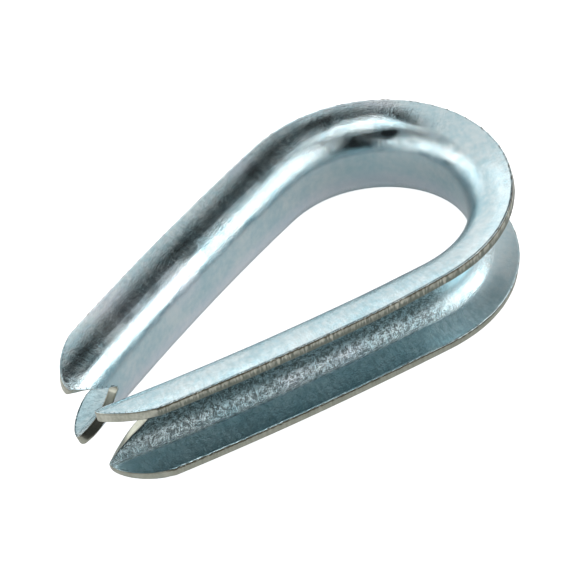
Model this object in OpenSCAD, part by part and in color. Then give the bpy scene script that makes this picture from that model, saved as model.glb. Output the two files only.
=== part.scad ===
// Wire rope thimble: one steel strip rolled to a channel and bent round a crown,
// with its groove outwards. The rope lies in the groove and a pin bears in the crown.
// +X runs from the legs to the crown, +Z is the axis of the eye, and the origin is
// the centre of the crown arc at half height.

/* [Eye] */
// Inside radius of the crown, where the pin bears
crown_r = 10; // [8:0.5:30]
// Length of each straight leg, out to its horns
leg_len = 36; // [20:1:80]
// Gap between the two legs where they end
end_gap = 2; // [0.5:0.1:6]

/* [Channel] */
// Thickness of the strip
sheet_t = 0.9; // [0.5:0.1:2]
// Flat width across the floor of the groove
web_flat = 4; // [2:0.1:8]
// Inside radius of the two bends, on the groove side
bend_r = 1.8; // [0.8:0.1:4]
// Angle that each flange is turned through from the floor
flange_turn = 73; // [60:1:88]
// Length of the straight part of each flange
flange_len = 3.1; // [1.5:0.1:7]

/* [Leg ends] */
// Depth of the notch cut in the floor of the groove
notch_depth = 6.4; // [2:0.2:10]
// Angle between the notch's two sides
notch_angle = 48; // [20:1:70]
// Radius at the bottom of the notch
notch_root_r = 0.5; // [0.3:0.1:1.4]
// Radius of the rounded outer corner of each flange
corner_r = 3.3; // [1:0.1:5]

/* [Hidden] */
$fn = 96;
// How far a cutter reaches past what it cuts
past = 1;
// Steps in each rounded bend of the section, and in the bottom of the notch
bend_steps = 12;
root_steps = 8;
// The eye side of a bend
bend_out_r = bend_r + sheet_t;
// Lean of each leg towards the centre line, which leaves the gap between their ends
leg_lean = acos(end_gap / 2 / norm([crown_r, leg_len])) - atan2(leg_len, crown_r);
// Half of the crown arc, which ends where its leg leaves at a tangent
crown_half = 90 + leg_lean;
// Depth of the channel, from the floor's eye side to the flange's groove-side corner
channel_depth = bend_out_r * (1 - cos(flange_turn)) + flange_len * sin(flange_turn)
    + sheet_t * cos(flange_turn);
// Half height of the channel, at the flange's eye-side corner
half_height = web_flat / 2 + bend_out_r * sin(flange_turn) + flange_len * cos(flange_turn);
// Half the included angle of the notch, and the height of its mouth
flank = notch_angle / 2;
mouth_half = notch_root_r * cos(flank)
    + (notch_depth - notch_root_r * (1 - sin(flank)) + past) * tan(flank);

// Points of an arc about centre c, from angle a to angle b
function arc(c, r, a, b, steps) =
    [for (i = [0:steps]) let(t = a + (b - a) * i / steps) c + r * [cos(t), sin(t)]];

// One side of the strip: a bend about c and then the straight of the flange
function strip_side(c, r) = concat(
    arc(c, r, 180, 180 - flange_turn, bend_steps),
    [c + r * [-cos(flange_turn), sin(flange_turn)]
        + flange_len * [sin(flange_turn), cos(flange_turn)]]
);

// Upper half of the channel's section: x is away from the eye, y is up
module half_section() {
    bend_centre = [crown_r + bend_out_r, web_flat / 2];
    groove_side = strip_side(bend_centre, bend_r);
    eye_side = strip_side(bend_centre, bend_out_r);
    last = len(groove_side) - 1;
    polygon(concat(
        [[crown_r + sheet_t, 0], [crown_r, 0]],
        eye_side,
        [for (i = [last:-1:0]) groove_side[i]]
    ));
}

module channel_section() {
    half_section();
    mirror([0, 1]) half_section();
}

// Removed from the floor at the end of a leg: x is along the leg, from the notch's bottom
module notch_outline() {
    polygon(concat(
        arc([notch_root_r, 0], notch_root_r, 90 + flank, 270 - flank, root_steps),
        [[notch_depth + past, -mouth_half], [notch_depth + past, mouth_half]]
    ));
}

// Removed from the outer corner of a flange: x is across the leg, y is along it
module corner_outline() {
    difference() {
        square(corner_r + past);
        circle(corner_r);
    }
}

// One leg along +Y, from its joint with the crown at y = 0
module leg() {
    cut_height = 2 * (half_height + past);
    difference() {
        mirror([0, 1, 0]) rotate([90, 0, 0]) linear_extrude(leg_len) channel_section();
        translate([crown_r - past, leg_len - notch_depth, 0]) rotate([90, 0, 90])
            linear_extrude(channel_depth + 2 * past) notch_outline();
        translate([crown_r + channel_depth - corner_r, leg_len - corner_r, -cut_height / 2])
            linear_extrude(cut_height) corner_outline();
    }
}

// The crown on one side of the centre line, with a little more that is trimmed at y = 0
module half_crown() {
    spare = 5;
    rotate_extrude(angle = crown_half + spare, start = -crown_half - spare) channel_section();
}

module half_thimble() {
    reach = crown_r + channel_depth + past;
    difference() {
        rotate(crown_half) {
            half_crown();
            leg();
        }
        translate([0, -reach, -half_height - past])
            cube([reach, reach, 2 * (half_height + past)]);
    }
}

module thimble() {
    color([0.72, 0.78, 0.80]) {
        half_thimble();
        mirror([0, 1, 0]) half_thimble();
    }
}

thimble();
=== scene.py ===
import math

import bpy
import numpy as np
from mathutils import Matrix, Vector, noise


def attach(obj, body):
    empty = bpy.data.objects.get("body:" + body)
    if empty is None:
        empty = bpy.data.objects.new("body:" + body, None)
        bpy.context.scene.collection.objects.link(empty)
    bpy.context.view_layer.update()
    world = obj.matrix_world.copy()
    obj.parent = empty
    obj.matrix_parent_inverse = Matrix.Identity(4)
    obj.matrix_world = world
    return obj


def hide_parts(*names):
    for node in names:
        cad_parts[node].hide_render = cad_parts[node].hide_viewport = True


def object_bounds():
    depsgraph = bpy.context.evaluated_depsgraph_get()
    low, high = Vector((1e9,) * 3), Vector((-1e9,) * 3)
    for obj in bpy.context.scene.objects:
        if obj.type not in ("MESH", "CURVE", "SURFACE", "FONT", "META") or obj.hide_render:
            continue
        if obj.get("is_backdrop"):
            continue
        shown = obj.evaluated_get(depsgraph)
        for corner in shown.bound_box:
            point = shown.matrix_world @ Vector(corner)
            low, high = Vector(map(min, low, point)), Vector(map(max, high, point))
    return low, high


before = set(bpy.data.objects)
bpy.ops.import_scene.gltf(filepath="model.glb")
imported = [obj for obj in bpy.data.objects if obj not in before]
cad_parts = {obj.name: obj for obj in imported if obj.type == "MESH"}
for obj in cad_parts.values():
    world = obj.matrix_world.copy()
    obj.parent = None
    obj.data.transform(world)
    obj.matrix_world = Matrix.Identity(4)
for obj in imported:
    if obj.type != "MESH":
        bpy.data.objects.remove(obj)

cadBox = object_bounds()

# A wire rope thimble. A flat blank with fishtail ends is modelled first, with its sheared
# edges, and a geometry nodes tree then rolls it to a channel and bends it round the crown.

strip = {
    "thickness": 0.001016,
    "halfWidth": 0.00752,      # centre line to the sheared edge, on the flat blank
    "halfLength": 0.05431,     # crown to the longest reach of the blank
    "rowsAlong": 640,
    "rowsAcross": 46,
    "edgeRound": 0.00007,      # corner on the eye side
    "burrRound": 0.00006,      # corner on the groove side
    "burrHeight": 0.000030,    # lip left by the slitting
    "toothDepth": 0.000030,    # serration of the sheared edge
    "toothPitch": 0.00042,
    "tipStarts": 0.0485,       # the punched ends are smoother than the slit edges
    "tipWear": 2.5,            # how much wider their worn corners are
    "tipBlend": 0.0015,        # over which the one kind of edge becomes the other
    "tipSmooth": 0.8,          # share of the serration that the punched ends lack
    "lipReach": 0.8,           # share of the corner's inset that the slitting lip fills
    "crowdAcross": 0.12,       # how much closer the rows get towards the edges
    "crowdAlong": 0.10,        # and towards the ends of the legs
    "cutEase": 1.6,            # above 1, the end cut gathers near the end
    "rippleScale": 260.0,
    "peelScale": 1900.0,
    "cutReach": 0.0150,        # how much of each leg the end cut is spread over
}

# The blank's end: a V notch in the middle, two horns, and a rounded outer corner beyond each
fishtail = {
    "notchDepth": 0.0057,
    "notchRound": 0.03,        # bottom of the V, as a share of the half width
    "hornPlace": 0.52,         # where the horn stands, as a share of the half width
    "hornBlunt": 0.00018,      # worn off the horn's point
    "hornWidth": 0.06,
    "cornerSlant": 0.0016,
    "cornerRound": 0.0060,
    "cornerTurn": 0.95,        # how far round its quarter of an ellipse the corner goes
}

rolling = {
    "Crown radius": 0.0100,
    "Crown half angle": math.radians(89.81),
    "Shoulder radius": 0.01276,
    "Lean": math.radians(11.09),
    "Leg curl": 3.52,                    # radians per metre
    "Crown web": 0.00127,
    "Crown bend": 0.00311,
    "Crown turn": math.radians(63.5),
    "Leg web": 0.00128,
    "Leg bend": 0.00260,
    "Leg turn": math.radians(69.3),
    "Change starts": 0.00458,
    "Change ends": 0.02784,
    "Flange curl": 100.0,                # radians per metre
    "Thickness": strip["thickness"],
    "Ripple": 0.000035,                  # slow unevenness of the rolled faces
    "Peel": 0.000012,                    # stretched grain on the bends
    "Seed": 3.7,
}


def cutBack(share):
    fromMiddle = np.hypot(share, fishtail["notchRound"])
    notch = fishtail["notchDepth"] * np.maximum(0, 1 - fromMiddle / fishtail["hornPlace"])
    pastHorn = np.abs(share) - fishtail["hornPlace"]
    blunt = fishtail["hornBlunt"] * np.exp(-(pastHorn / fishtail["hornWidth"]) ** 2)
    outward = np.clip(pastHorn / (1 - fishtail["hornPlace"]), 0, 1)
    slant = fishtail["cornerSlant"] * outward
    rounding = fishtail["cornerRound"] * (1 - np.sqrt(1 - (fishtail["cornerTurn"] * outward) ** 2))
    return notch + blunt + slant + rounding


def acrossStations():
    # Rows are closer together towards the edges
    n = strip["rowsAcross"]
    t = np.linspace(-1, 1, n)
    crowd = strip["crowdAcross"]
    return np.sign(t) * ((1 + crowd) * np.abs(t) - crowd * np.abs(t) ** 3)


def blankPoint(v, share):
    # v runs -1..1 along the strip, share runs -1..1 across it
    start = 1 - strip["cutReach"] / strip["halfLength"]
    late = np.clip((np.abs(v) - start) / (1 - start), 0, 1) ** strip["cutEase"]
    x = np.sign(v) * (np.abs(v) * strip["halfLength"] - cutBack(share) * late)
    return x, share * strip["halfWidth"]


def alongStations():
    # Rows are closer together over the last stretch of each leg
    n = strip["rowsAlong"]
    t = np.linspace(-1, 1, n)
    crowd = strip["crowdAlong"]
    return np.sign(t) * ((1 + crowd) * np.abs(t) - crowd * np.abs(t) ** 6)


def toothNoise(distance, level, seed):
    where = Vector((distance / strip["toothPitch"], level * 0.35, seed))
    return noise.noise(where) + 0.5 * noise.noise(where * 2.1)


def makeBlank():
    vs = alongStations()
    us = acrossStations()
    half = strip["thickness"] / 2
    gridV, gridU = np.meshgrid(vs, us, indexing="ij")
    x, y = blankPoint(gridV, gridU)
    nv, nu = x.shape
    # The outline, anticlockwise seen from the groove side
    loop = [(i, 0) for i in range(nv)] + [(nv - 1, j) for j in range(1, nu)]
    loop += [(i, nu - 1) for i in range(nv - 2, -1, -1)] + [(0, j) for j in range(nu - 2, 0, -1)]
    ring = np.array([(x[i, j], y[i, j]) for i, j in loop])
    ahead = np.roll(ring, -1, axis=0) - np.roll(ring, 1, axis=0)
    ahead /= np.linalg.norm(ahead, axis=1)[:, None]
    outward = np.stack([ahead[:, 1], -ahead[:, 0]], axis=1)
    travelled = np.concatenate([[0], np.cumsum(np.linalg.norm(np.diff(ring, axis=0), axis=1))])

    atTip = np.clip((np.abs(ring[:, 0]) - strip["tipStarts"]) / strip["tipBlend"], 0, 1)

    r, b = strip["edgeRound"], strip["burrRound"]
    # (height, inset, share of the serration) from the groove side to the eye side
    rimRows = [(half, b, 0.0), (half - 0.3 * b, 0.3 * b, 0.6), (half - b, 0, 1.0)]
    rimRows += [(half * k, 0, s) for k, s in ((0.7, 1.0), (0.45, 0.9), (0.2, 0.7), (-0.1, 0.45), (-0.4, 0.3))]
    rimRows += [(-half + r, 0.0, 0.2), (-half + 0.3 * r, 0.3 * r, 0.1), (-half, r, 0.0)]

    verts, edgeMask, levelMask, burrMask = [], [], [], []

    def addPoint(px, py, z, edge, burr):
        verts.append((px, py, z))
        edgeMask.append(edge)
        levelMask.append(0.5 + 0.5 * z / half)
        burrMask.append(burr)
        return len(verts) - 1

    def lipAt(k, side):
        # The slitting burr stands on the eye side of the upper edge and the groove side of the lower
        upperEdge = min(1, max(0, ring[k, 1] / strip["halfWidth"] * 4 - 2))
        lowerEdge = min(1, max(0, -ring[k, 1] / strip["halfWidth"] * 4 - 2))
        share = lowerEdge if side > 0 else upperEdge
        return share * max(0, 0.55 + toothNoise(travelled[k], 0, 9.0))

    place = {ij: k for k, ij in enumerate(loop)}

    def addFace(side, inset):
        index = np.zeros((nv, nu), int)
        for i in range(nv):
            for j in range(nu):
                k = place.get((i, j))
                if k is None:
                    index[i, j] = addPoint(x[i, j], y[i, j], side * half, 0.0, 0.0)
                    continue
                lip = lipAt(k, side) * (1 - atTip[k])
                pull = inset * (1 - strip["lipReach"] * lip) * (1 + strip["tipWear"] * atTip[k])
                px = x[i, j] - outward[k, 0] * pull
                py = y[i, j] - outward[k, 1] * pull
                z = side * (half + lip * strip["burrHeight"])
                index[i, j] = addPoint(px, py, z, 0.0, lip)
        return index

    top = addFace(1, b)
    bottom = addFace(-1, r)
    rows = [[top[i, j] for i, j in loop]]
    for z, inset, bite in rimRows[1:-1]:
        row = []
        for k in range(len(loop)):
            tooth = toothNoise(travelled[k], z / half, 5.0) * strip["toothDepth"] * bite
            tooth *= 1 - strip["tipSmooth"] * atTip[k]
            px = ring[k, 0] - outward[k, 0] * (inset + tooth)
            py = ring[k, 1] - outward[k, 1] * (inset + tooth)
            row.append(addPoint(px, py, z, 1.0, 0.0))
        rows.append(row)
    rows.append([bottom[i, j] for i, j in loop])

    faces = []
    for i in range(nv - 1):
        for j in range(nu - 1):
            faces.append((top[i, j], top[i + 1, j], top[i + 1, j + 1], top[i, j + 1]))
            faces.append((bottom[i, j], bottom[i, j + 1], bottom[i + 1, j + 1], bottom[i + 1, j]))
    count = len(loop)
    for a, c in zip(rows[:-1], rows[1:]):
        for k in range(count):
            n = (k + 1) % count
            faces.append((a[k], c[k], c[n], a[n]))
    mesh = bpy.data.meshes.new("stripBlank")
    mesh.from_pydata([tuple(map(float, v)) for v in verts], [], faces)
    for name, values in (("edgeBand", edgeMask), ("edgeLevel", levelMask), ("burr", burrMask)):
        layer = mesh.attributes.new(name, "FLOAT", "POINT")
        layer.data.foreach_set("value", np.array(values, dtype=np.float32))
    mesh.polygons.foreach_set("use_smooth", [True] * len(mesh.polygons))
    blank = bpy.data.objects.new("thimbleStrip", mesh)
    bpy.context.scene.collection.objects.link(blank)
    print("blank:", len(verts), "points", len(faces), "faces")
    return blank


def treeTools(tree):
    # Small helpers: add a node, feed a socket, and do a sum whose output is handed back
    def new(kind, **settings):
        node = tree.nodes.new(kind)
        for key, value in settings.items():
            setattr(node, key, value)
        return node

    def feed(socket, value):
        if isinstance(value, bpy.types.NodeSocket):
            tree.links.new(value, socket)
        else:
            socket.default_value = value

    def calc(operation, *values, clamp=False):
        node = new("ShaderNodeMath", operation=operation, use_clamp=clamp)
        for socket, value in zip(node.inputs, values):
            feed(socket, value)
        return node.outputs[0]

    return new, feed, calc


def makeRollTree(faceFinish, edgeFinish):
    tree = bpy.data.node_groups.new("rollAndBend", "GeometryNodeTree")
    face = tree.interface
    face.new_socket("Geometry", in_out="INPUT", socket_type="NodeSocketGeometry")
    for name, value in rolling.items():
        socket = face.new_socket(name, in_out="INPUT", socket_type="NodeSocketFloat")
        socket.default_value = value
    face.new_socket("Geometry", in_out="OUTPUT", socket_type="NodeSocketGeometry")
    new, feed, calc = treeTools(tree)
    given = new("NodeGroupInput").outputs
    size = {name: given[name] for name in rolling}

    place = new("ShaderNodeSeparateXYZ")
    feed(place.inputs[0], new("GeometryNodeInputPosition").outputs[0])
    along, across, through = place.outputs
    reach = calc("ABSOLUTE", along)
    side = calc("SIGN", along)
    wide = calc("ABSOLUTE", across)
    upper = calc("SIGN", across)

    # The section changes from the crown's to the leg's
    span = calc("SUBTRACT", size["Change ends"], size["Change starts"])
    raw = calc("DIVIDE", calc("SUBTRACT", reach, size["Change starts"]), span)
    share = calc("MINIMUM", calc("MAXIMUM", raw, 0.0), 1.0)
    ease = calc("MULTIPLY", calc("MULTIPLY", share, share),
                calc("SUBTRACT", 3.0, calc("MULTIPLY", share, 2.0)))

    def between(crown, leg):
        return calc("MULTIPLY_ADD", calc("SUBTRACT", size[leg], size[crown]), ease, size[crown])

    web = between("Crown web", "Leg web")
    bend = between("Crown bend", "Leg bend")
    turn = between("Crown turn", "Leg turn")

    # Roll: flat floor, round bend, flange with a slight curl
    past = calc("MAXIMUM", calc("SUBTRACT", wide, web), 0.0)
    angle = calc("MINIMUM", calc("DIVIDE", past, bend), turn)
    flat = calc("SUBTRACT", past, calc("MULTIPLY", angle, bend))
    sine, cosine = calc("SINE", angle), calc("COSINE", angle)
    out = calc("ADD", calc("MULTIPLY", size["Thickness"], 0.5),
               calc("MULTIPLY", bend, calc("SUBTRACT", 1.0, cosine)))
    up = calc("ADD", calc("MINIMUM", wide, web), calc("MULTIPLY", bend, sine))
    tilt = calc("MULTIPLY_ADD", flat, size["Flange curl"], angle)
    tiltSine, tiltCosine = calc("SINE", tilt), calc("COSINE", tilt)
    out = calc("ADD", out, calc("DIVIDE", calc("SUBTRACT", cosine, tiltCosine), size["Flange curl"]))
    up = calc("ADD", up, calc("DIVIDE", calc("SUBTRACT", tiltSine, sine), size["Flange curl"]))

    # Unevenness is added through the thickness, on both faces alike
    flatPlace = new("ShaderNodeCombineXYZ")
    feed(flatPlace.inputs[0], along)
    feed(flatPlace.inputs[1], across)
    feed(flatPlace.inputs[2], calc("MULTIPLY", through, 0.6))
    slow = new("ShaderNodeTexNoise", noise_dimensions="4D")
    feed(slow.inputs["Vector"], flatPlace.outputs[0])
    feed(slow.inputs["W"], size["Seed"])
    slow.inputs["Scale"].default_value = strip["rippleScale"]
    slow.inputs["Detail"].default_value = 1.0
    fast = new("ShaderNodeTexNoise", noise_dimensions="4D")
    feed(fast.inputs["Vector"], flatPlace.outputs[0])
    feed(fast.inputs["W"], size["Seed"])
    fast.inputs["Scale"].default_value = strip["peelScale"]
    fast.inputs["Detail"].default_value = 2.0
    curved = calc("DIVIDE", angle, turn)
    onBend = calc("MULTIPLY", calc("SUBTRACT", 1.0, curved), calc("MULTIPLY", curved, 4.0))
    lift = calc("MULTIPLY", calc("SUBTRACT", slow.outputs[0], 0.5), size["Ripple"])
    peel = calc("MULTIPLY", calc("SUBTRACT", fast.outputs[0], 0.5), size["Peel"])
    lift = calc("ADD", lift, calc("MULTIPLY", peel, calc("ADD", 0.35, onBend)))
    through = calc("ADD", through, lift)

    out = calc("MULTIPLY_ADD", through, tiltCosine, out)
    up = calc("SUBTRACT", up, calc("MULTIPLY", through, tiltSine))

    # Bend: crown arc, shoulder arc, then a leg with a slight curl
    crownLength = calc("MULTIPLY", size["Crown radius"], size["Crown half angle"])
    first = calc("DIVIDE", calc("MINIMUM", reach, crownLength), size["Crown radius"])
    whole = calc("ADD", size["Lean"], math.pi / 2)
    shoulderTurn = calc("SUBTRACT", whole, size["Crown half angle"])
    after = calc("DIVIDE", calc("SUBTRACT", reach, crownLength), size["Shoulder radius"])
    second = calc("MINIMUM", calc("MAXIMUM", after, 0.0), shoulderTurn)
    heading = calc("ADD", first, second)
    rest = calc("SUBTRACT", calc("SUBTRACT", reach, crownLength),
                calc("MULTIPLY", size["Shoulder radius"], shoulderTurn))
    rest = calc("MAXIMUM", rest, 0.0)
    final = calc("MULTIPLY_ADD", rest, size["Leg curl"], heading)

    def pathTerm(function):
        arc = calc("MULTIPLY", size["Crown radius"], calc(function, first))
        change = calc("SUBTRACT", calc(function, heading), calc(function, first))
        arc = calc("MULTIPLY_ADD", size["Shoulder radius"], change, arc)
        curl = calc("SUBTRACT", calc(function, final), calc(function, heading))
        return calc("ADD", arc, calc("DIVIDE", curl, size["Leg curl"]))

    finalCos, finalSin = calc("COSINE", final), calc("SINE", final)
    px = calc("MULTIPLY_ADD", out, finalCos, pathTerm("COSINE"))
    py = calc("MULTIPLY", side, calc("MULTIPLY_ADD", out, finalSin, pathTerm("SINE")))
    pz = calc("MULTIPLY", up, upper)
    target = new("ShaderNodeCombineXYZ")
    for socket, value in zip(target.inputs, (px, py, pz)):
        feed(socket, value)

    # The flat place stays on the mesh, for patterns that follow the strip
    store = new("GeometryNodeStoreNamedAttribute", data_type="FLOAT_VECTOR", domain="POINT")
    store.inputs["Name"].default_value = "flatPlace"
    feed(store.inputs["Geometry"], given["Geometry"])
    keep = new("ShaderNodeCombineXYZ")
    feed(keep.inputs[0], along)
    feed(keep.inputs[1], across)
    feed(keep.inputs[2], place.outputs[2])
    feed(store.inputs["Value"], keep.outputs[0])
    bendStore = new("GeometryNodeStoreNamedAttribute", data_type="FLOAT", domain="POINT")
    bendStore.inputs["Name"].default_value = "bendShare"
    feed(bendStore.inputs["Geometry"], store.outputs[0])
    feed(bendStore.inputs["Value"], curved)

    move = new("GeometryNodeSetPosition")
    feed(move.inputs["Geometry"], bendStore.outputs[0])
    feed(move.inputs["Position"], target.outputs[0])
    real = new("GeometryNodeRealizeInstances")
    feed(real.inputs[0], move.outputs[0])
    faces = new("GeometryNodeSetMaterial")
    faces.inputs["Material"].default_value = faceFinish
    feed(faces.inputs["Geometry"], real.outputs[0])
    band = new("GeometryNodeInputNamedAttribute", data_type="FLOAT")
    band.inputs["Name"].default_value = "edgeBand"
    edges = new("GeometryNodeSetMaterial")
    edges.inputs["Material"].default_value = edgeFinish
    feed(edges.inputs["Geometry"], faces.outputs[0])
    feed(edges.inputs["Selection"], calc("GREATER_THAN", band.outputs[0], 0.6))
    last = new("NodeGroupOutput")
    feed(last.inputs[0], edges.outputs[0])
    return tree


def rollStrip(blank, faceFinish, edgeFinish):
    tree = makeRollTree(faceFinish, edgeFinish)
    modifier = blank.modifiers.new("rolling", "NODES")
    modifier.node_group = tree
    for item in tree.interface.items_tree:
        if item.in_out == "INPUT" and item.name in rolling:
            modifier[item.identifier] = rolling[item.name]
    graph = bpy.context.evaluated_depsgraph_get()
    mesh = bpy.data.meshes.new_from_object(blank.evaluated_get(graph))
    blank.modifiers.clear()
    blank.data = mesh
    print("strip rolled:", len(mesh.polygons), "faces")
    return blank


zinc = {
    "pale": (0.68, 0.78, 0.80, 1),         # clear passivate over bright zinc
    "deep": (0.45, 0.64, 0.70, 1),         # where the blue film is thicker
    "blushAndSheen": (0.92, 0.84, 0.93, 1),        # faint lilac of the film; also the colour of the painted sheen towards the hole edge
    "pitShade": (0.07, 0.10, 0.10, 1),          # painted shade in the bottoms of the wrinkles
    "dullAndShade": (0.20, 0.31, 0.34, 1),         # painted shade inside the groove
    "grooveShadeShare": 0.66,
    "crownShadeShare": 0.34,                    # the same painted shade on the eye side of the crown's floor
    "cloudSize": 0.0060,
    "roughness": 0.17,
    "roughFlange": 0.03,                   # added where the flanges were drawn
    "roughWrinkle": 0.10,                  # added where the groove is wrinkled
    "wrinkleSize": 0.00013,                # crushed skin inside the groove of each leg
    "wrinkleDepth": 0.00013,
    "wrinkleFrom": 0.0135,                 # distance from the crown where it starts
    "wrinkleTo": 0.0195,
    "stippleSize": 0.00013,                # stretched skin of the bends on the eye side
    "stippleDepth": 0.000075,
    "markPitch": 0.00021,                  # drawing marks across the strip
    "markDepth": 0.000045,
}

shear = {
    "bright": (0.60, 0.61, 0.53, 1),
    # dull tone of the serrations, also used as the painted shade of the lower edge
    "dullAndShade": (0.34, 0.35, 0.29, 1),
    "grooveSideShade": (0.13, 0.15, 0.13, 1),         # painted shade on the groove side of the upper edge
    "burr": (0.07, 0.06, 0.04, 1),         # shadowed root of the slitting burr
    "roughness": 0.32,
    "pitch": 0.00030,
    "depth": 0.000060,
    "tipDepth": 0.000008,                  # what is left of it on the punched ends
    "sparkleSize": 0.00030,
}


def shaderTools(tree):
    new, feed, calc = treeTools(tree)

    def pattern(where, scale, detail=2.0, rough=0.5, stretch=(1, 1, 1), shift=(0, 0, 0)):
        mapping = new("ShaderNodeMapping")
        feed(mapping.inputs["Vector"], where)
        mapping.inputs["Scale"].default_value = stretch
        mapping.inputs["Location"].default_value = shift
        node = new("ShaderNodeTexNoise")
        feed(node.inputs["Vector"], mapping.outputs[0])
        feed(node.inputs["Scale"], scale)
        node.inputs["Detail"].default_value = detail
        node.inputs["Roughness"].default_value = rough
        return node.outputs["Fac"]

    def remap(value, low, high, outLow=0.0, outHigh=1.0):
        node = new("ShaderNodeMapRange", interpolation_type="SMOOTHSTEP")
        feed(node.inputs["Value"], value)
        for name, number in (("From Min", low), ("From Max", high), ("To Min", outLow), ("To Max", outHigh)):
            feed(node.inputs[name], number)
        return node.outputs["Result"]

    def blend(factor, a, b):
        node = new("ShaderNodeMix", data_type="RGBA")
        feed(node.inputs["Factor"], factor)
        feed(node.inputs[6], a)
        feed(node.inputs[7], b)
        return node.outputs[2]

    return new, feed, calc, pattern, remap, blend


def makeFilmGroup():
    # The blue passivate: cloudy depth and a faint lilac blush
    group = bpy.data.node_groups.new("passivateFilm", "ShaderNodeTree")
    face = group.interface
    face.new_socket("Place", in_out="INPUT", socket_type="NodeSocketVector")
    for name in ("Pale", "Deep", "Blush"):
        face.new_socket(name, in_out="INPUT", socket_type="NodeSocketColor")
    face.new_socket("Cloud size", in_out="INPUT", socket_type="NodeSocketFloat")
    face.new_socket("Colour", in_out="OUTPUT", socket_type="NodeSocketColor")
    face.new_socket("Cloud", in_out="OUTPUT", socket_type="NodeSocketFloat")
    new, feed, calc, pattern, remap, blend = shaderTools(group)
    given = new("NodeGroupInput").outputs
    scale = calc("DIVIDE", 1.0, given["Cloud size"])
    cloud = pattern(given["Place"], scale, 3.0, 0.6)
    fine = pattern(given["Place"], calc("MULTIPLY", scale, 9.0), 3.0, 0.7)
    mixed = calc("ADD", calc("MULTIPLY", cloud, 0.6), calc("MULTIPLY", fine, 0.4))
    depth = remap(mixed, 0.34, 0.68)
    flush = pattern(given["Place"], calc("MULTIPLY", scale, 0.55), 1.0, 0.5, (1, 1, 1), (3, 1, 7))
    colour = blend(depth, given["Pale"], given["Deep"])
    colour = blend(remap(flush, 0.56, 0.72, 0.0, 0.35), colour, given["Blush"])
    last = new("NodeGroupOutput")
    feed(last.inputs["Colour"], colour)
    feed(last.inputs["Cloud"], depth)
    return group


def makeGrainGroup():
    # One relief as a height and a mask of its low spots
    group = bpy.data.node_groups.new("metalGrain", "ShaderNodeTree")
    face = group.interface
    face.new_socket("Place", in_out="INPUT", socket_type="NodeSocketVector")
    for name in ("Size", "Stretch", "Depth", "Amount"):
        face.new_socket(name, in_out="INPUT", socket_type="NodeSocketFloat")
    face.new_socket("Height", in_out="OUTPUT", socket_type="NodeSocketFloat")
    face.new_socket("Pits", in_out="OUTPUT", socket_type="NodeSocketFloat")
    new, feed, calc, pattern, remap, blend = shaderTools(group)
    given = new("NodeGroupInput").outputs
    drawn = new("ShaderNodeCombineXYZ")
    feed(drawn.inputs[0], 1.0)
    feed(drawn.inputs[1], given["Stretch"])
    feed(drawn.inputs[2], 1.0)
    scaled = new("ShaderNodeVectorMath", operation="MULTIPLY")
    feed(scaled.inputs[0], given["Place"])
    feed(scaled.inputs[1], drawn.outputs[0])
    fine = pattern(scaled.outputs[0], calc("DIVIDE", 1.0, given["Size"]), 3.0, 0.6)
    broad = pattern(scaled.outputs[0], calc("DIVIDE", 0.3, given["Size"]), 2.0, 0.5)
    relief = calc("ADD", calc("MULTIPLY", fine, 0.7), calc("MULTIPLY", broad, 0.4))
    amount = calc("MULTIPLY", given["Amount"], given["Depth"])
    last = new("NodeGroupOutput")
    feed(last.inputs["Height"], calc("MULTIPLY", calc("SUBTRACT", relief, 0.55), amount))
    feed(last.inputs["Pits"], calc("MULTIPLY", remap(relief, 0.61, 0.49), given["Amount"]))
    return group


def placeGroup(tree, group, **values):
    new, feed = treeTools(tree)[:2]
    node = new("ShaderNodeGroup", node_tree=group)
    for name, value in values.items():
        feed(node.inputs[name.replace("_", " ")], value)
    return node


def attribute(tree, name):
    node = tree.nodes.new("ShaderNodeAttribute")
    node.attribute_name = name
    return node


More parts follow.
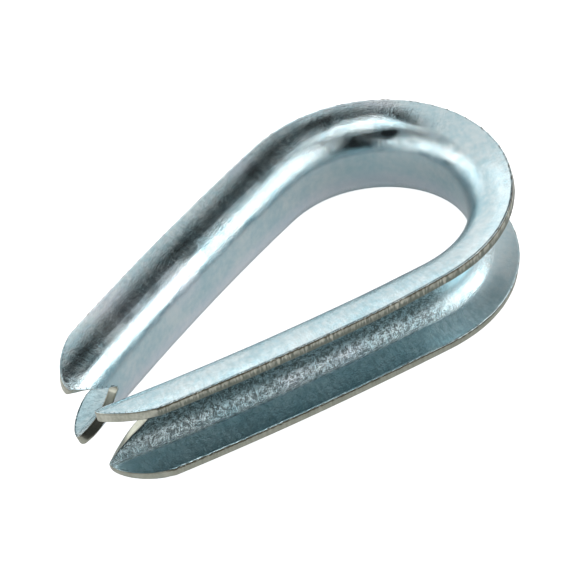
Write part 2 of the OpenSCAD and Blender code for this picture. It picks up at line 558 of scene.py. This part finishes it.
def makeZinc(film, grain):
    material = bpy.data.materials.new("zincPlate")
    material.use_nodes = True
    tree = material.node_tree
    new, feed, calc, pattern, remap, blend = shaderTools(tree)
    shader = tree.nodes["Principled BSDF"]
    flat = attribute(tree, "flatPlace").outputs["Vector"]
    bent = attribute(tree, "bendShare").outputs["Fac"]
    burr = attribute(tree, "burr").outputs["Fac"]
    split = new("ShaderNodeSeparateXYZ")
    feed(split.inputs[0], flat)
    grooveSide = remap(split.outputs[2], -0.0001, 0.0001)
    eyeSide = calc("SUBTRACT", 1.0, grooveSide)
    reach = calc("ABSOLUTE", split.outputs[0])

    # Where each kind of skin shows
    onFlange = remap(bent, 0.90, 1.0)
    offFlange = calc("SUBTRACT", 1.0, remap(bent, 0.97, 1.0))
    crushed = calc("MULTIPLY", offFlange, remap(reach, zinc["wrinkleFrom"], zinc["wrinkleTo"]))
    crushed = calc("MULTIPLY", crushed, grooveSide)
    patches = remap(pattern(flat, 230.0, 2.0, 0.6), 0.36, 0.56)
    bendEnds = remap(bent, 0.96, 1.0, 0.0, 0.6)
    onBend = calc("MULTIPLY", remap(bent, 0.02, 0.30), calc("SUBTRACT", 1.0, bendEnds))
    stretched = calc("MULTIPLY", onBend, calc("ADD", 0.35, calc("MULTIPLY", patches, 0.65)))
    drawn = calc("MULTIPLY", onFlange, calc("ADD", 0.30, calc("MULTIPLY", eyeSide, 0.7)))
    drawn = calc("MULTIPLY", drawn, remap(reach, 0.009, 0.018, 0.25, 1.0))

    wrinkles = placeGroup(tree, grain, Place=flat, Size=zinc["wrinkleSize"], Stretch=0.75,
                          Depth=zinc["wrinkleDepth"], Amount=crushed)
    stipple = placeGroup(tree, grain, Place=flat, Size=zinc["stippleSize"], Stretch=0.8,
                         Depth=zinc["stippleDepth"], Amount=stretched)
    marks = placeGroup(tree, grain, Place=flat, Size=zinc["markPitch"], Stretch=0.20,
                       Depth=zinc["markDepth"], Amount=drawn)
    height = calc("ADD", wrinkles.outputs["Height"], stipple.outputs["Height"])
    height = calc("ADD", height, marks.outputs["Height"])
    bump = new("ShaderNodeBump")
    bump.inputs["Strength"].default_value = 1.0
    bump.inputs["Distance"].default_value = 1.0
    feed(bump.inputs["Height"], height)
    feed(shader.inputs["Normal"], bump.outputs[0])

    tint = placeGroup(tree, film, Place=flat, Pale=zinc["pale"], Deep=zinc["deep"], Blush=zinc["blushAndSheen"],
                      Cloud_size=zinc["cloudSize"])
    # Painted reflection: the lower web on the eye side is lightened to pale lilac towards the hole edge,
    # standing in for the floor's sheen
    holeEdgeSheen = calc("MULTIPLY", eyeSide, remap(split.outputs[1], 0.0002, -0.0022, 0.0, 0.40))
    holeEdgeSheen = calc("MULTIPLY", holeEdgeSheen, remap(bent, 0.75, 0.25))
    colour = blend(holeEdgeSheen, tint.outputs["Colour"], zinc["blushAndSheen"])
    # Painted shade: the eye side of the crown's floor is darkened, standing in for the shadowed floor it
    # reflects
    crownFloorShade = calc("MULTIPLY", eyeSide, remap(reach, 0.019, 0.011, 0.0, zinc["crownShadeShare"]))
    crownFloorShade = calc("MULTIPLY", crownFloorShade, remap(bent, 0.55, 0.15))
    colour = blend(crownFloorShade, colour, zinc["dullAndShade"])
    # Painted shade inside the groove: the groove-side flange and the wrinkled web are darkened, broken up by
    # streaks
    inGroove = calc("MULTIPLY", grooveSide, onFlange)
    streaks = pattern(flat, 3200.0, 3.0, 0.6, (1, 0.45, 1))
    dullAndShade = calc("MULTIPLY", inGroove, remap(streaks, 0.36, 0.62, 1.05, 0.55))
    dullAndShade = calc("MULTIPLY", dullAndShade, remap(reach, 0.010, 0.017, 0.2, 1.0))
    dullAndShade = calc("ADD", dullAndShade, calc("MULTIPLY", crushed, remap(bent, 0.60, 0.15, 0.0, 1.25)))
    colour = blend(calc("MULTIPLY", dullAndShade, zinc["grooveShadeShare"]), colour, zinc["dullAndShade"])
    # Painted shade in the bottoms of the wrinkles and, faintly, of the drawing marks
    wrinklePitShade = calc("MULTIPLY", wrinkles.outputs["Pits"], remap(bent, 0.25, 0.90, 0.98, 0.62))
    colour = blend(wrinklePitShade, colour, zinc["pitShade"])
    colour = blend(calc("MULTIPLY", marks.outputs["Pits"], 0.07), colour, zinc["pitShade"])
    # Painted shade: a dark line along the slitting lip, at the shadowed root of the burr
    colour = blend(remap(burr, 0.25, 0.9, 0.0, 0.8), colour, shear["burr"])
    feed(shader.inputs["Base Color"], colour)

    rough = calc("MULTIPLY_ADD", crushed, zinc["roughWrinkle"], zinc["roughness"])
    rough = calc("MULTIPLY_ADD", drawn, zinc["roughFlange"], rough)
    rough = calc("ADD", rough, calc("MULTIPLY", inGroove, remap(reach, 0.010, 0.018, 0.26, 0.06)))
    rough = calc("MULTIPLY_ADD", tint.outputs["Cloud"], -0.04, rough)
    feed(shader.inputs["Roughness"], rough)
    shader.inputs["Metallic"].default_value = 1.0
    return material


def makeShear(film):
    material = bpy.data.materials.new("shearedEdge")
    material.use_nodes = True
    tree = material.node_tree
    new, feed, calc, pattern, remap, blend = shaderTools(tree)
    shader = tree.nodes["Principled BSDF"]
    flat = attribute(tree, "flatPlace").outputs["Vector"]
    level = attribute(tree, "edgeLevel").outputs["Fac"]
    split = new("ShaderNodeSeparateXYZ")
    feed(split.inputs[0], flat)
    upperEdge = remap(split.outputs[1], -0.001, 0.001)
    tint = placeGroup(tree, film, Place=flat, Pale=shear["bright"], Deep=shear["dullAndShade"], Blush=shear["bright"],
                      Cloud_size=0.0020)
    teeth = pattern(flat, 1.0 / shear["pitch"], 3.0, 0.65, (1, 1, 0.15))
    # The burr stands at the eye face of the upper edge and at the groove face of the lower one
    fromBurr = blend(upperEdge, calc("SUBTRACT", 1.0, level), level)
    rootWidth = calc("MULTIPLY", teeth, 0.44)
    # Painted shade on the groove side of the upper edge, broken up by the serration
    grooveSideShade = remap(calc("MULTIPLY_ADD", calc("SUBTRACT", teeth, 0.5), 2.4, level), 0.20, 0.75)
    tipBegins, tipBlended = strip["tipStarts"], strip["tipStarts"] + strip["tipBlend"]
    slit = remap(calc("ABSOLUTE", split.outputs[0]), tipBlended, tipBegins)
    slitShare = calc("MULTIPLY_ADD", slit, 0.7, 0.3)
    grooveSideShade = calc("MULTIPLY", grooveSideShade, calc("MULTIPLY", upperEdge, slit))
    root = calc("LESS_THAN", fromBurr, rootWidth)
    root = calc("MULTIPLY", root, slitShare)
    sparkle = remap(pattern(flat, 1.0 / shear["sparkleSize"], 2.0, 0.5), 0.60, 0.66)
    serrated = calc("MULTIPLY", remap(teeth, 0.44, 0.60, 0.0, 0.75), slitShare)
    colour = blend(serrated, tint.outputs["Colour"], shear["dullAndShade"])
    # Painted shade: the lower edge, facing down, is darker than the upper one
    colour = blend(calc("MULTIPLY", calc("SUBTRACT", 1.0, upperEdge), 0.45), colour, shear["dullAndShade"])
    colour = blend(calc("MULTIPLY", grooveSideShade, 0.85), colour, shear["grooveSideShade"])
    # Painted shade at the burr's root, left out where the sparkles show
    colour = blend(calc("MULTIPLY", root, calc("SUBTRACT", 0.85, sparkle), clamp=True), colour, shear["burr"])
    feed(shader.inputs["Base Color"], colour)
    bump = new("ShaderNodeBump")
    bump.inputs["Strength"].default_value = 1.0
    bump.inputs["Distance"].default_value = 1.0
    toothHeight = calc("MULTIPLY_ADD", slit, shear["depth"], shear["tipDepth"])
    feed(bump.inputs["Height"], calc("MULTIPLY", teeth, toothHeight))
    feed(shader.inputs["Normal"], bump.outputs[0])
    shader.inputs["Roughness"].default_value = shear["roughness"]
    shader.inputs["Metallic"].default_value = 1.0
    return material


studio = {
    "azimuth": -0.5933, "elevation": 0.7544, "roll": -0.1767,
    "distance": 0.2279, "lens": 136.1, "sensor": 36,
    "offsetRight": 0.0087, "offsetUp": 0.0062,
    "boxDistance": 0.7,
    # name, azimuth, elevation, angle across, angle up, brightness
    "boxes": [
        ("rightBox", 44, 24, 64, 46, 2.4),
        ("leftBox", -118, 21, 104, 29, 1.7),
        ("lowBackBox", 146, 17, 104, 44, 1.0),
        ("highBackBox", 178, 51, 52, 36, 0.85),
        ("roofBox", 50, 70, 34, 20, 0.5),
        ("topBox", -50, 83, 32, 12, 5.0),
    ],
    "roomColour": (0.50, 0.66, 0.68, 1),
    "roomLight": 0.015,
    "backdrop": (0.93, 0.94, 0.95, 1),
    "floorColour": (0.80, 0.80, 0.80, 1),
    "floorReach": 1.5,
    # The floor is dimmer in the metal's reflections than to the camera, to keep the lower faces dark
    "floorGlowReflected": 0.16,
    "floorGlowSeen": 0.90,
}


def makeCamera():
    az, el, ro = studio["azimuth"], studio["elevation"], studio["roll"]
    back = Vector((math.sin(az) * math.cos(el), -math.cos(az) * math.cos(el), math.sin(el)))
    right = Vector((math.cos(az), math.sin(az), 0))
    up = back.cross(right)
    turnedRight = right * math.cos(ro) + up * math.sin(ro)
    turnedUp = up * math.cos(ro) - right * math.sin(ro)
    data = bpy.data.cameras.new("camera")
    data.sensor_width = studio["sensor"]
    data.lens = studio["lens"]
    data.clip_start = 0.01
    camera = bpy.data.objects.new("camera", data)
    frameTurn = Matrix((turnedRight, turnedUp, back)).transposed()
    spot = back * studio["distance"] - turnedRight * studio["offsetRight"] - turnedUp * studio["offsetUp"]
    camera.matrix_world = Matrix.Translation(spot) @ frameTurn.to_4x4()
    bpy.context.scene.collection.objects.link(camera)
    bpy.context.scene.camera = camera
    print("camera placed")


def makeFloor():
    z = cadBox[0][2]
    s = studio["floorReach"]
    mesh = bpy.data.meshes.new("floor")
    mesh.from_pydata([(-s, -s, z), (s, -s, z), (s, s, z), (-s, s, z)], [], [(0, 1, 2, 3)])
    floor = bpy.data.objects.new("floor", mesh)
    bpy.context.scene.collection.objects.link(floor)
    material = bpy.data.materials.new("paleFloor")
    material.use_nodes = True
    shader = material.node_tree.nodes["Principled BSDF"]
    shader.inputs["Base Color"].default_value = studio["floorColour"]
    shader.inputs["Roughness"].default_value = 0.9
    shader.inputs["Specular IOR Level"].default_value = 0.0
    shader.inputs["Emission Color"].default_value = (1, 1, 1, 1)
    rays = material.node_tree.nodes.new("ShaderNodeLightPath")
    glow = material.node_tree.nodes.new("ShaderNodeMapRange")
    glow.inputs["To Min"].default_value = studio["floorGlowReflected"]
    glow.inputs["To Max"].default_value = studio["floorGlowSeen"]
    material.node_tree.links.new(rays.outputs["Is Camera Ray"], glow.inputs["Value"])
    material.node_tree.links.new(glow.outputs["Result"], shader.inputs["Emission Strength"])
    mesh.materials.append(material)
    floor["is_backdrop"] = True
    print("floor laid")


def softBox(name, azimuth, elevation, acrossAngle, upAngle, brightness):
    # A panel that fills the given angles as seen from the thimble
    distance = studio["boxDistance"]
    data = bpy.data.lights.new(name, "AREA")
    data.shape = "RECTANGLE"
    data.size = 2 * distance * math.tan(math.radians(acrossAngle / 2))
    data.size_y = 2 * distance * math.tan(math.radians(upAngle / 2))
    data.energy = brightness * math.pi * data.size * data.size_y
    lamp = bpy.data.objects.new(name, data)
    az, el = math.radians(azimuth), math.radians(elevation)
    away = Vector((math.sin(az) * math.cos(el), -math.cos(az) * math.cos(el), math.sin(el)))
    facing = away.to_track_quat("Z", "Y").to_matrix().to_4x4()
    lamp.matrix_world = Matrix.Translation(away * distance) @ facing
    bpy.context.scene.collection.objects.link(lamp)


def makeLight():
    world = bpy.data.worlds.new("studio")
    bpy.context.scene.world = world
    world.use_nodes = True
    # The backdrop is seen pale, while the metal sees a dark room between the soft boxes
    new, feed = treeTools(world.node_tree)[:2]
    backdrop = world.node_tree.nodes["Background"]
    rays = new("ShaderNodeLightPath")
    colour = new("ShaderNodeMix", data_type="RGBA")
    feed(colour.inputs["Factor"], rays.outputs["Is Camera Ray"])
    feed(colour.inputs[6], studio["roomColour"])
    feed(colour.inputs[7], studio["backdrop"])
    feed(backdrop.inputs["Color"], colour.outputs[2])
    strength = new("ShaderNodeMapRange")
    feed(strength.inputs["Value"], rays.outputs["Is Camera Ray"])
    feed(strength.inputs["To Min"], studio["roomLight"])
    feed(strength.inputs["To Max"], 1.0)
    feed(backdrop.inputs["Strength"], strength.outputs["Result"])
    for box in studio["boxes"]:
        softBox(*box)
    bpy.context.scene.view_settings.view_transform = "Standard"
    print("soft boxes:", len(studio["boxes"]))


makeCamera()
makeFloor()
makeLight()
filmGroup = makeFilmGroup()
grainGroup = makeGrainGroup()
zincPlate = makeZinc(filmGroup, grainGroup)
shearedEdge = makeShear(filmGroup)
print("finishes made: zinc plate, sheared edge")
thimble = rollStrip(makeBlank(), zincPlate, shearedEdge)
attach(thimble, "root")
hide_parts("thimble")

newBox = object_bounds()
for name, box in (("cad", cadBox), ("visual", newBox)):
    print(name, "box in mm:", [round(v * 1000, 2) for p in box for v in p])
